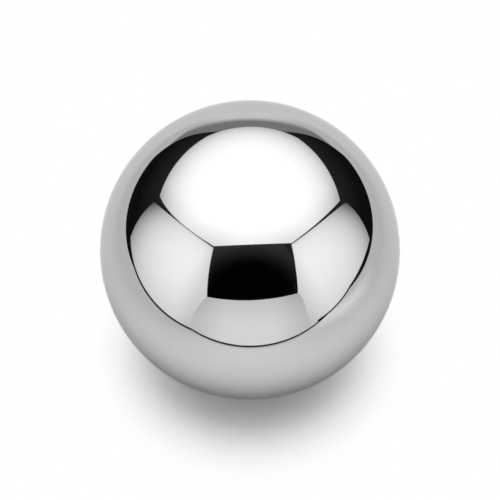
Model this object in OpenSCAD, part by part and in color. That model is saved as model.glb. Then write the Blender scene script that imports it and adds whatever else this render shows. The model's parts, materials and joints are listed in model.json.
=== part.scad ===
// A solid steel ball, ground and lapped all over to one true sphere.
// Millimetres, +Z up. The origin is the centre of the ball.

/* [Ball] */
// Diameter of the finished ball
ball_d = 25.4; // [3:0.1:60]

/* [Hidden] */
// Steps round the ball where it is shown as a mesh, the form itself being a true sphere
$fn = 180;

// The ball is one piece of hardened steel, with no bore, flat, seam or core.
module ball() {
    color("silver")
        sphere(d = ball_d);
}

ball();
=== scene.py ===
"""A mirror-lapped steel ball on a white table, inside the small light tent that it mirrors."""

import json
import math

import bpy
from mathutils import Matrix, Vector


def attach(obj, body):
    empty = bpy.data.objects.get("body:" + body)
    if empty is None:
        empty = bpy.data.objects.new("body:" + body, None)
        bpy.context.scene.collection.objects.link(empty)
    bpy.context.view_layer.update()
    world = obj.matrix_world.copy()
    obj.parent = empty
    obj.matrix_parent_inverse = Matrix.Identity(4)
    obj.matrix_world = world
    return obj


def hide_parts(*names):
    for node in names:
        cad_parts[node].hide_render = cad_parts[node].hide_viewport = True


bl_info = {
    "name": "Steel Ball",
    "version": (1, 0, 0),
    "blender": (4, 5, 0),
    "location": "3D View > Sidebar > Steel Ball",
    "description": "Models a lapped steel ball and the light tent that it mirrors",
    "category": "Add Mesh",
}

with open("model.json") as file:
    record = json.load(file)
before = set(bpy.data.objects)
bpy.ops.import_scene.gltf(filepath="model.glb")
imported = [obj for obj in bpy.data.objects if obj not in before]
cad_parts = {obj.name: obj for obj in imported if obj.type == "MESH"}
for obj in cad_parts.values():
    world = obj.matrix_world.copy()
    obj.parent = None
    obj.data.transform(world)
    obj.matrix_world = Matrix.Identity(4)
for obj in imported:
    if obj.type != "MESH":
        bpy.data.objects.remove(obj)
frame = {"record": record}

MM = 0.001
BALL_DIAMETER = max(frame["record"]["size"]["bbox_m"])
# Brightness, where 1 is white: the backdrop for the camera, the unlit room low down, and the
# room overhead, a little lighter with painted light spilled from the roof.
WHITE = 1.0
ROOM_DARK = 0.008
ROOM_DIM = 0.03
# Focal length and sensor width of the camera, in its own millimetres.
LENS = 1000.0
SENSOR = 36.0
BACKWARD = Vector((0, 1, 0))
FORWARD = Vector((0, -1, 0))
SIDEWAYS = Vector((1, 0, 0))
UPWARD = Vector((0, 0, 1))


# ---------------------------------------------------------------- colours and nodes


def linear(hex_colour):
    """An sRGB hex colour such as #C4C4C6 as the linear values that a shader takes."""
    channels = [int(hex_colour[i:i + 2], 16) / 255 for i in (1, 3, 5)]
    return tuple(c / 12.92 if c <= 0.04045 else ((c + 0.055) / 1.055) ** 2.4 for c in channels)


def add_node(tree, kind, settings=None, inputs=None):
    """Adds a node with its settings, and gives each named input a value or a link."""
    node = tree.nodes.new(kind)
    for name, value in (settings or {}).items():
        setattr(node, name, value)
    for name, value in (inputs or {}).items():
        if isinstance(value, bpy.types.NodeSocket):
            tree.links.new(value, node.inputs[name])
        else:
            node.inputs[name].default_value = value
    return node


def mm(*sizes):
    """A vector given in millimetres."""
    return Vector(sizes) * MM


def empty_material(name):
    """A node material with only its output node."""
    material = bpy.data.materials.new(name)
    material.use_nodes = True
    material.node_tree.nodes.clear()
    output = add_node(material.node_tree, "ShaderNodeOutputMaterial")
    return material, material.node_tree, output


# ---------------------------------------------------------------- settings


class SteelBallSettings(bpy.types.PropertyGroup):
    """Size and finish of the ball."""

    diameter: bpy.props.FloatProperty(
        name="Diameter",
        description="Diameter of the finished ball",
        default=BALL_DIAMETER,
        min=3 * MM,
        max=60 * MM,
        precision=4,
        unit="LENGTH",
    )
    steel: bpy.props.FloatVectorProperty(
        name="Steel",
        description="Colour of light mirrored straight back by the polished steel",
        default=linear("#C4C4C5"),
        min=0,
        max=1,
        subtype="COLOR",
    )
    steel_rim: bpy.props.FloatVectorProperty(
        name="Rim Tint",
        description="How far the steel holds back the brightening of a mirror seen edge-on",
        default=linear("#E3E3E4"),
        min=0,
        max=1,
        subtype="COLOR",
    )
    polish: bpy.props.FloatProperty(
        name="Polish Roughness",
        description="Roughness left by the last lapping",
        default=0.03,
        min=0,
        max=0.3,
        subtype="FACTOR",
    )


class LightTentSettings(bpy.types.PropertyGroup):
    """Sizes and light of the tent of white cloths round the ball."""

    table_width: bpy.props.FloatProperty(
        name="Table Width",
        description="Width beside the ball of the white card that the ball stands on",
        default=168 * MM,
        unit="LENGTH",
    )
    table_length: bpy.props.FloatProperty(
        name="Table Length",
        description="Distance from the ball's centre back to where the card curls up",
        default=108 * MM,
        unit="LENGTH",
    )
    front_reach: bpy.props.FloatProperty(
        name="Front Reach",
        description="Distance from the ball's centre to the front cloth",
        default=43.8 * MM,
        unit="LENGTH",
    )
    roof_height: bpy.props.FloatProperty(
        name="Roof Height",
        description="Height of the roof diffuser above the ball's centre",
        default=61.3 * MM,
        unit="LENGTH",
    )
    side_reach: bpy.props.FloatProperty(
        name="Side Reach",
        description="Distance from the ball's centre to each side cloth, square to the cloth",
        default=53.7 * MM,
        unit="LENGTH",
    )
    side_turn: bpy.props.FloatProperty(
        name="Side Turn",
        description="Angle between each side cloth and the front cloth",
        default=math.radians(42),
        subtype="ANGLE",
    )
    cloth_gap: bpy.props.FloatProperty(
        name="Cloth Gap",
        description="Height of the cloths' lower edges above the table",
        default=2.2 * MM,
        unit="LENGTH",
    )
    roof_light: bpy.props.FloatProperty(
        name="Roof Light",
        description="Brightness of the roof at its brightest, where 1 is white",
        default=2.07,
    )
    side_light: bpy.props.FloatProperty(
        name="Side Light",
        description="Brightness of the side cloths at their brightest, where 1 is white",
        default=1.57,
    )
    front_light: bpy.props.FloatProperty(
        name="Front Light",
        description="Brightness of the front cloth at its brightest, where 1 is white",
        default=1.19,
    )
    lamp_size: bpy.props.FloatProperty(
        name="Lamp Size",
        description="Diameter of the round lamp overhead",
        default=76.2 * MM,
        unit="LENGTH",
    )
    lamp_light: bpy.props.FloatProperty(
        name="Lamp Light",
        description="Brightness of the face of the lamp overhead, where 1 is white",
        default=4.7,
    )
    camera_height: bpy.props.FloatProperty(
        name="Camera Height",
        description="Angle of the camera above the level of the ball",
        default=math.radians(55),
        subtype="ANGLE",
    )
    ball_share: bpy.props.FloatProperty(
        name="Ball Share",
        description="Share of the picture's width that the ball fills",
        default=0.60,
        min=0.1,
        max=1,
        subtype="FACTOR",
    )


# ---------------------------------------------------------------- materials


def lapped_steel(settings):
    """Hardened high-carbon chromium steel, lapped to a mirror: neutral grey reflections, sharp to
    the rim, with the faint cloudiness that the lapping plates leave."""
    cloud_size = 6 * MM
    thin_haze, thick_haze = 0.3, 0.7
    clearest, cloudiest = 0.7, 1.3
    material, tree, output = empty_material("Chromium steel, mirror lapped")
    place = add_node(tree, "ShaderNodeTexCoord").outputs["Object"]
    haze = add_node(tree, "ShaderNodeTexNoise", None,
                    {"Vector": place, "Scale": 1 / cloud_size, "Detail": 3.0, "Roughness": 0.5})
    roughness = add_node(tree, "ShaderNodeMapRange", None,
                         {"Value": haze.outputs["Fac"], "From Min": thin_haze,
                          "From Max": thick_haze, "To Min": settings.polish * clearest,
                          "To Max": settings.polish * cloudiest})
    steel = add_node(tree, "ShaderNodeBsdfPrincipled", None,
                     {"Base Color": (*settings.steel, 1), "Metallic": 1.0,
                      "Roughness": roughness.outputs["Result"],
                      "Specular Tint": (*settings.steel_rim, 1)})
    tree.links.new(steel.outputs["BSDF"], output.inputs["Surface"])
    return material


def glow_level(tree, place, bright, dim, centre, reach, core=1.0):
    """Brightness that is bright round the centre and fades to dim at the reach along each axis.
    A core under 1 keeps a wider middle bright."""
    scale = Vector(1 / size for size in reach)
    spot = add_node(tree, "ShaderNodeMapping", None,
                    {"Vector": place, "Location": -centre * scale, "Scale": scale})
    fade = add_node(tree, "ShaderNodeTexGradient", {"gradient_type": "SPHERICAL"},
                    {"Vector": spot.outputs["Vector"]})
    level = add_node(tree, "ShaderNodeMapRange", {"interpolation_type": "SMOOTHSTEP"},
                     {"Value": fade.outputs["Fac"], "From Max": core, "To Min": dim,
                      "To Max": bright})
    return level.outputs["Result"]


def seam_shade(tree, place, level, direction, distance, width, shade):
    """Darkens a level softly to the shade along the seam that lies at a distance in a direction."""
    towards = add_node(tree, "ShaderNodeVectorMath", {"operation": "DOT_PRODUCT"},
                       {0: place, 1: direction})
    kept = add_node(tree, "ShaderNodeMapRange", {"interpolation_type": "SMOOTHSTEP"},
                    {"Value": towards.outputs["Value"], "From Min": distance - width,
                     "From Max": distance, "To Min": 1.0, "To Max": shade})
    shaded = add_node(tree, "ShaderNodeMath", {"operation": "MULTIPLY"},
                      {0: level, 1: kept.outputs["Result"]})
    return shaded.outputs["Value"]


def lit_cloth(name, glow, cast, seams=()):
    """White diffuser cloth with a lamp behind it: an even glow that dims towards its seams.
    Polished metal mirrors its full brightness, and its light falls on the table by the share
    cast."""
    material, tree, output = empty_material(name)
    place = add_node(tree, "ShaderNodeTexCoord").outputs["Object"]
    level = glow_level(tree, place, **glow)
    for seam in seams:
        level = seam_shade(tree, place, level, **seam)
    mirrored = add_node(tree, "ShaderNodeLightPath").outputs["Is Glossy Ray"]
    share = add_node(tree, "ShaderNodeMapRange", None,
                     {"Value": mirrored, "To Min": cast, "To Max": 1.0})
    strength = add_node(tree, "ShaderNodeMath", {"operation": "MULTIPLY"},
                        {0: level, 1: share.outputs["Result"]})
    light = add_node(tree, "ShaderNodeEmission", None, {"Strength": strength.outputs["Value"]})
    tree.links.new(light.outputs["Emission"], output.inputs["Surface"])
    return material


def card_level(tree, place, radius):
    """Painted brightness of the card beyond the ball's shadow: painted light behind the ball and at
    the front right, and a little dimmer elsewhere. As it curls up, painted shade dims it, the sides
    first."""
    flat = 0.80
    # Painted shade: where the card curls up it dims.
    side = seam_shade(tree, place, flat, direction=UPWARD, distance=3.5 * MM, width=7.5 * MM,
                      shade=0.375)
    behind = mm(0, 75, 0) - UPWARD * radius
    front_right = mm(68, -36, 0) - UPWARD * radius
    # Painted pools of light behind the ball and at the front right.
    lit = glow_level(tree, place, bright=1.02, dim=flat, centre=behind,
                     reach=mm(56, 145, 145), core=0.46)
    lit = glow_level(tree, place, bright=1.17, dim=lit, centre=front_right,
                     reach=mm(66, 40, 40), core=0.6)
    return glow_level(tree, place, bright=lit, dim=side, centre=mm(0, 152, -152),
                      reach=mm(120, 950, 189), core=0.15)


def white_card(radius):
    """Smooth white card. It keeps the ball's shadow, clears to white for the camera away from the
    ball's foot, and farther off, in what the ball mirrors, glows with painted light in place of
    its lamps' light."""
    material, tree, output = empty_material("White card")
    path = add_node(tree, "ShaderNodeLightPath")
    place = add_node(tree, "ShaderNodeTexCoord").outputs["Object"]
    surface = add_node(tree, "ShaderNodeBsdfDiffuse", None, {"Color": (*linear("#F1F1F1"), 1)})
    surface = surface.outputs["BSDF"]
    white = add_node(tree, "ShaderNodeEmission").outputs["Emission"]
    level = card_level(tree, place, radius)
    lit = add_node(tree, "ShaderNodeEmission", None, {"Strength": level}).outputs["Emission"]
    covers = (
        dict(ray="Is Camera Ray", forward=2 * MM, start=4.7 * MM, end=14 * MM, light=white),
        # Farther off, in what the ball mirrors, the card glows with painted light instead of being
        # lit.
        dict(ray="Is Glossy Ray", forward=25 * MM, start=28 * MM, end=51 * MM, light=lit),
    )
    for cover in covers:
        centre = FORWARD * cover["forward"] - UPWARD * radius
        away = add_node(tree, "ShaderNodeVectorMath", {"operation": "DISTANCE"},
                        {0: place, 1: centre})
        covered = add_node(tree, "ShaderNodeMapRange", {"interpolation_type": "SMOOTHSTEP"},
                           {"Value": away.outputs["Value"], "From Min": cover["start"],
                            "From Max": cover["end"]})
        share = add_node(tree, "ShaderNodeMath", {"operation": "MULTIPLY"},
                         {0: covered.outputs["Result"], 1: path.outputs[cover["ray"]]})
        mixed = add_node(tree, "ShaderNodeMixShader", None,
                         {0: share.outputs["Value"], 1: surface, 2: cover["light"]})
        surface = mixed.outputs["Shader"]
    tree.links.new(surface, output.inputs["Surface"])
    return material


def curled_card(radius):
    """The same card where it curls up at its far end: all painted light, with the same painted
    light and shade as the card farther off.
    """
    material, tree, output = empty_material("White card, curled end")
    place = add_node(tree, "ShaderNodeTexCoord").outputs["Object"]
    lit = add_node(tree, "ShaderNodeEmission", None, {"Strength": card_level(tree, place, radius)})
    tree.links.new(lit.outputs["Emission"], output.inputs["Surface"])
    return material


def white_surround():
    """The floor beyond the card: white to the camera, and unlit in what the ball mirrors."""
    material, tree, output = empty_material("White surround")
    seen = add_node(tree, "ShaderNodeLightPath").outputs["Is Camera Ray"]
    level = add_node(tree, "ShaderNodeMapRange", None,
                     {"Value": seen, "To Min": ROOM_DARK, "To Max": WHITE})
    glow = add_node(tree, "ShaderNodeEmission", None, {"Strength": level.outputs["Result"]})
    tree.links.new(glow.outputs["Emission"], output.inputs["Surface"])
    return material


# ---------------------------------------------------------------- the ball


class MESH_OT_steel_ball(bpy.types.Operator):
    """Rough a cube out to an even mesh of quads and lap it to the true sphere"""

    bl_idname = "mesh.steel_ball"
    bl_label = "Steel Ball"

    def execute(self, context):
        settings = context.scene.steel_ball
        halvings = 6
        bpy.ops.object.select_all(action="DESELECT")
        bpy.ops.mesh.primitive_cube_add(size=settings.diameter)
        ball = context.object
        ball.name = "polished_ball"
        ball.data.name = "polished_ball"
        rough = ball.modifiers.new("Even quads", "SUBSURF")
        rough.levels = halvings
        rough.render_levels = halvings
        bpy.ops.object.modifier_apply(modifier=rough.name)
        lap = ball.modifiers.new("Lapping", "CAST")
        lap.cast_type = "SPHERE"
        lap.factor = 1.0
        lap.use_radius_as_size = False
        lap.size = settings.diameter / 2
        bpy.ops.object.modifier_apply(modifier=lap.name)
        bpy.ops.object.shade_smooth()
        ball.data.materials.append(lapped_steel(settings))
        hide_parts("ball")
        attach(ball, "root")
        return {"FINISHED"}


# ---------------------------------------------------------------- the light tent


def cloth_outline(corners):
    """Outline through a cloth's corners, which are given in millimetres. Each comes with the bow
    of the edge that follows it, positive to the left of its run, as a hanging cloth is never
    quite straight."""
    curve_steps = 12
    outline = []
    for (start, bow), (end, _) in zip(corners, corners[1:] + corners[:1]):
        start, end = mm(*start), mm(*end)
        run = end - start
        left = Vector((-run.y, run.x)).normalized()
        steps = curve_steps if bow else 1
        for step in range(steps):
            t = step / steps
            # A parabola that is 0 at both corners and 1 halfway.
            rise = 4 * t * (1 - t)
            outline.append(start + run * t + left * bow * MM * rise)
    return outline


def hang_cloth(name, corners, place, across, up, material):
    """A flat cloth with the given corners, drawn from place along the directions across and up."""
    outline = cloth_outline(corners)
    bpy.ops.object.select_all(action="DESELECT")
    bpy.ops.mesh.primitive_circle_add(vertices=len(outline), fill_type="NGON")
    cloth = bpy.context.object
    cloth.name = name
    for vertex, point in zip(cloth.data.vertices, outline):
        vertex.co = place + across * point.x + up * point.y
    cloth.data.materials.append(material)
    off_camera(cloth)


def off_camera(part):
    """Makes a part of the tent one that lights the ball and is mirrored in it, while the camera
    looks through it."""
    part.visible_camera = False


class SCENE_OT_light_tent(bpy.types.Operator):
    """Lay the white card, hang the lit cloths of the tent about the ball and set up the camera"""

    bl_idname = "scene.light_tent"
    bl_label = "Light Tent and Camera"

    def execute(self, context):
        tent = context.scene.light_tent
        radius = context.scene.steel_ball.diameter / 2
        foot = tent.cloth_gap - radius
        self.table(tent, radius)
        self.curled_end(tent, radius)
        self.roof(tent)
        self.lamp(tent)
        self.left_cloth(tent, foot)
        self.right_cloth(tent, foot)
        self.front_cloth(tent, foot)
        self.opening()
        self.room(context)
        self.camera(context, tent, radius)
        return {"FINISHED"}

    @staticmethod
    def side_normal(tent, side):
        """Direction from the ball to a side cloth, square to it: side is -1 left and 1 right."""
        return Vector((side * math.sin(tent.side_turn), -math.cos(tent.side_turn), 0))

    def side_seams(self, tent, width, shade):
        """Seams along both side cloths."""
        return [dict(direction=self.side_normal(tent, side), distance=tent.side_reach,
                     width=width, shade=shade) for side in (-1, 1)]

    def table(self, tent, radius):
        """The floor, with the white card cut into it: the card runs just under the cloths, lies a
        little to the right, widens towards the back, and has one corner cut off."""
        floor_size = 12.0
        overhang = 1.9 * MM
        to_the_right = 6.9 * MM
        right_flare, left_flare = math.radians(3.4), math.radians(10)
        corner_turn = math.radians(21)
        corner_reach = 62 * MM
        right_edge = SIDEWAYS * math.cos(right_flare) + FORWARD * math.sin(right_flare)
        left_edge = -SIDEWAYS * math.cos(left_flare) + FORWARD * math.sin(left_flare)
        right_corner = SIDEWAYS * math.sin(corner_turn) + FORWARD * math.cos(corner_turn)
        bpy.ops.object.select_all(action="DESELECT")
        bpy.ops.mesh.primitive_plane_add(size=floor_size, location=(0, 0, -radius))
        bpy.ops.object.transform_apply(location=True, rotation=False, scale=False)
        floor = bpy.context.object
        floor.name = "floor"
        cuts = [
            (left_edge, tent.table_width / 2 - to_the_right),
            (right_edge, tent.table_width / 2 + to_the_right),
            (BACKWARD, tent.table_length),
            (FORWARD, tent.front_reach + overhang),
            (self.side_normal(tent, -1), tent.side_reach + overhang),
            (right_corner, corner_reach),
        ]
        bpy.ops.object.mode_set(mode="EDIT")
        for normal, distance in cuts:
            bpy.ops.mesh.select_all(action="SELECT")
            bpy.ops.mesh.bisect(plane_co=normal * distance, plane_no=normal)
        bpy.ops.object.mode_set(mode="OBJECT")
        floor.data.materials.append(white_card(radius))
        floor.data.materials.append(white_surround())
        for face in floor.data.polygons:
            outside = any(face.center.dot(normal) > distance for normal, distance in cuts)
            face.material_index = int(outside)

    def curled_end(self, tent, radius):
        """The far end of the card, which curls up steeply and then leans back behind the roof. Its
        corners are cut back where it curls."""
        start = tent.table_length
        first = 14 * MM
        half_width = 97 * MM
        halvings = 3
        # Each step of the curl in millimetres: how far back, how far up, and half its width.
        curl_steps = [(14, 3.7, 99), (3, 17, 77), (11, 13, 70), (22, 10, 72), (30, 12, 78),
                      (62, 27, 84), (62, 28, 90)]
        bpy.ops.object.select_all(action="DESELECT")
        bpy.ops.mesh.primitive_plane_add(size=1, location=(0, start + first / 2, -radius))
        curl = bpy.context.object
        curl.name = "curled_end"
        curl.scale = (2 * half_width, first, 1)
        bpy.ops.object.transform_apply(location=True, rotation=False, scale=True)
        bpy.ops.object.mode_set(mode="EDIT")
        bpy.ops.mesh.select_mode(type="EDGE")
        bpy.ops.mesh.select_all(action="DESELECT")
        bpy.ops.object.mode_set(mode="OBJECT")
        for edge in curl.data.edges:
            edge.select = all(curl.data.vertices[v].co.y > start + first / 2 for v in edge.vertices)
        bpy.ops.object.mode_set(mode="EDIT")
        for back, rise, wide in curl_steps:
            move = {"value": mm(0, back, rise)}
            bpy.ops.mesh.extrude_region_move(TRANSFORM_OT_translate=move)
            widen = wide * MM / half_width
            bpy.ops.transform.resize(value=(widen, 1, 1), center_override=(0, 0, 0))
            half_width = wide * MM
        bpy.ops.object.mode_set(mode="OBJECT")
        bend = curl.modifiers.new("Smooth bend", "SUBSURF")
        bend.levels = halvings
        bend.render_levels = halvings
        bend.boundary_smooth = "PRESERVE_CORNERS"
        bpy.ops.object.modifier_apply(modifier=bend.name)
        bpy.ops.object.shade_smooth()
        curl.data.materials.append(curled_card(radius))
        off_camera(curl)

    def roof(self, tent):
        """The flat diffuser overhead. Behind it the dark of the room shows over the card."""
        corners = [
            ((-34.6, -38.4), -0.4),  # front left
            ((40.0, -34.8), 0.8),  # front right
            ((142, 52), 6),  # right
            ((78, 182), -11),  # back right
            ((-66, 174), 3),  # back left
            ((-147, 65), -4.2),  # left
        ]
        height = UPWARD * tent.roof_height
        brightest = height + FORWARD * 12.7 * MM
        glow = dict(bright=tent.roof_light, dim=0.58, centre=brightest, reach=mm(198, 282, 198))
        seams = self.side_seams(tent, width=34 * MM, shade=0.87)
        seams.append(dict(direction=FORWARD, distance=39.4 * MM, width=32 * MM, shade=0.80))
        cloth = lit_cloth("Roof diffuser cloth", glow, cast=0.0, seams=seams)
        hang_cloth("roof", corners, height, SIDEWAYS, BACKWARD, cloth)

    def lamp(self, tent):
        """The round lamp that shines through the roof, set just under the cloth so that its light
        comes through. It throws the ball's shadow on the table, and the ball mirrors the cloth."""
        below_roof = 0.3 * MM
        behind = 3.2 * MM
        bpy.ops.object.light_add(type="AREA", location=(0, behind, tent.roof_height - below_roof))
        lamp = bpy.context.object
        lamp.name = "overhead_lamp"
        lamp.data.shape = "DISK"
        lamp.data.size = tent.lamp_size
        face = math.pi * (tent.lamp_size / 2) ** 2
        lamp.data.energy = tent.lamp_light * math.pi * face
        lamp.visible_camera = False
        lamp.visible_glossy = False

    def left_cloth(self, tent, foot):
        """The left diffuser, whose foot runs almost level."""
        foot, top = foot / MM, tent.roof_height / MM
        corners = [
            ((-6, foot), 0),  # foot, by the front cloth
            ((89, foot + 1.5), -3),  # foot, far end
            ((138, 45), -3.5),  # top, far end
            ((-0.5, top - 0.1), 0),  # top, by the opening
            ((-6.2, 38.5), 0),
            ((-11.8, 16.3), 0),  # corner of the front cloth
        ]
        self.side_cloth(tent, -1, "left", corners)

    def right_cloth(self, tent, foot):
        """The right diffuser, whose foot is lifted a little off the table."""
        foot, top = foot / MM, tent.roof_height / MM
        corners = [
            ((-4, foot + 1.2), 0.3),  # foot, by the front cloth
            ((1.5, foot + 3.4), -0.3),
            ((27, foot + 7), 1.5),  # foot, where it is lifted most
            ((86, foot + 1), -3),  # foot, far end
            ((138, 45), -3.5),  # top, far end
            ((5.6, top - 0.1), 0),  # top, by the opening
            ((-2.8, 35.5), 0),
            ((-8, 17.2), 0),  # corner of the front cloth
        ]
        self.side_cloth(tent, 1, "right", corners)

    def side_cloth(self, tent, side, name, corners):
        """A diffuser that stands at the side from the opening back, with its foot just over the
        table."""
        place = self.side_normal(tent, side) * tent.side_reach
        along = Vector((side * math.cos(tent.side_turn), math.sin(tent.side_turn), 0))
        brightest = place + along * 11 * MM + UPWARD * 33 * MM
        front_seam = tent.front_reach + 2.2 * MM
        glow = dict(bright=tent.side_light, dim=0.0, centre=brightest, reach=mm(152, 152, 125))
        seams = [
            dict(direction=FORWARD, distance=front_seam, width=12 * MM, shade=0.78),
            dict(direction=UPWARD, distance=tent.roof_height, width=5.8 * MM, shade=0.84),
        ]
        cloth = lit_cloth(f"Side cloth, {name}", glow, cast=0.40, seams=seams)
        hang_cloth("side_cloth_" + name, corners, place, along, UPWARD, cloth)

    def front_cloth(self, tent, foot):
        """The low cloth under the opening."""
        foot = foot / MM
        corners = [
            ((-32.3, foot), 0),
            ((39.9, foot), 0),
            ((29.5, 17.0), -0.8),
            ((-24.9, 15.5), -2),
        ]
        place = FORWARD * tent.front_reach
        brightest = place - UPWARD * 3.2 * MM
        glow = dict(bright=tent.front_light, dim=0.2, centre=brightest, reach=mm(254, 254, 65))
        seams = self.side_seams(tent, width=16 * MM, shade=0.77)
        cloth = lit_cloth("Front cloth", glow, cast=0.85, seams=seams)
        hang_cloth("front_cloth", corners, place, SIDEWAYS, UPWARD, cloth)

    def opening(self):
        """A dark sheet behind the opening that the camera looks in through, in place of the unlit
        room
        there: painted darkness that gives back next to no light, and painted light a little more
        towards its edges."""
        corners = [((-51, 8), 0), ((51, 8), 0), ((51, 110), 0), ((-51, 110), 0)]
        reach = 57 * MM
        place = FORWARD * reach
        darkest = place + UPWARD * 28 * MM
        # Painted darkness of the room beyond the opening, with a little painted light towards its
        # edges.
        glow = dict(bright=0.001, dim=0.045, centre=darkest, reach=mm(75, 100, 72.5), core=0.64)
        cloth = lit_cloth("Painted dark of the room beyond the opening", glow, cast=0.0)
        hang_cloth("opening", corners, place, SIDEWAYS, UPWARD, cloth)

    def room(self, context):
        """White all round for the camera and the table, and in what the ball mirrors the dark of
        the room, painted a little lighter overhead with light spilled from the roof."""
        world = bpy.data.worlds.new("Studio")
        context.scene.world = world
        world.use_nodes = True
        tree = world.node_tree
        tree.nodes.clear()
        output = add_node(tree, "ShaderNodeOutputWorld")
        # Heights of a direction, where 1 is straight up.
        low, high = -0.05, 0.3
        direction = add_node(tree, "ShaderNodeTexCoord").outputs["Generated"]
        height = add_node(tree, "ShaderNodeSeparateXYZ", None, {"Vector": direction})
        # The dark of the room, with painted spill light that makes it a little lighter overhead.
        dark = add_node(tree, "ShaderNodeMapRange", None,
                        {"Value": height.outputs["Z"], "From Min": low, "From Max": high,
                         "To Min": ROOM_DARK, "To Max": ROOM_DIM})
        mirrored = add_node(tree, "ShaderNodeLightPath").outputs["Is Glossy Ray"]
        level = add_node(tree, "ShaderNodeMapRange", None,
                         {"Value": mirrored, "To Min": WHITE, "To Max": dark.outputs["Result"]})
        sky = add_node(tree, "ShaderNodeBackground", None, {"Strength": level.outputs["Result"]})
        tree.links.new(sky.outputs["Background"], output.inputs["Surface"])

    def camera(self, context, tent, radius):
        """A long lens that looks down on the ball from the front, through the opening."""
        clip_ratio = 100
        towards = FORWARD * math.cos(tent.camera_height) + UPWARD * math.sin(tent.camera_height)
        distance = radius / tent.ball_share * LENS / (SENSOR / 2)
        bpy.ops.object.select_all(action="DESELECT")
        bpy.ops.object.camera_add(location=towards * distance)
        camera = context.object
        camera.name = "camera"
        camera.rotation_euler = (-towards).to_track_quat("-Z", "Y").to_euler()
        camera.data.lens = LENS
        camera.data.sensor_width = SENSOR
        camera.data.clip_start = distance / clip_ratio
        camera.data.clip_end = distance * clip_ratio
        context.scene.camera = camera


# ---------------------------------------------------------------- panel and registration


class VIEW3D_PT_steel_ball(bpy.types.Panel):
    """Buttons and settings for the ball, and for its tent and camera"""

    bl_label = "Steel Ball"
    bl_idname = "VIEW3D_PT_steel_ball"
    bl_space_type = "VIEW_3D"
    bl_region_type = "UI"
    bl_category = "Steel Ball"

    def draw(self, context):
        for operator, settings in STEPS:
            box = self.layout.box()
            box.operator(operator.bl_idname)
            group = getattr(context.scene, settings)
            for name in group.bl_rna.properties.keys():
                if name not in ("rna_type", "name"):
                    box.prop(group, name)


STEPS = (
    (MESH_OT_steel_ball, "steel_ball"),
    (SCENE_OT_light_tent, "light_tent"),
)
CLASSES = (
    SteelBallSettings,
    LightTentSettings,
    MESH_OT_steel_ball,
    SCENE_OT_light_tent,
    VIEW3D_PT_steel_ball,
)


def register():
    for cls in CLASSES:
        bpy.utils.register_class(cls)
    bpy.types.Scene.steel_ball = bpy.props.PointerProperty(type=SteelBallSettings)
    bpy.types.Scene.light_tent = bpy.props.PointerProperty(type=LightTentSettings)


def unregister():
    del bpy.types.Scene.light_tent
    del bpy.types.Scene.steel_ball
    for cls in reversed(CLASSES):
        bpy.utils.unregister_class(cls)


def main():
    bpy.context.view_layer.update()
    register()
    bpy.context.scene.view_settings.view_transform = "Standard"
    bpy.ops.mesh.steel_ball()
    bpy.ops.scene.light_tent()


if __name__ == "__main__":
    main()
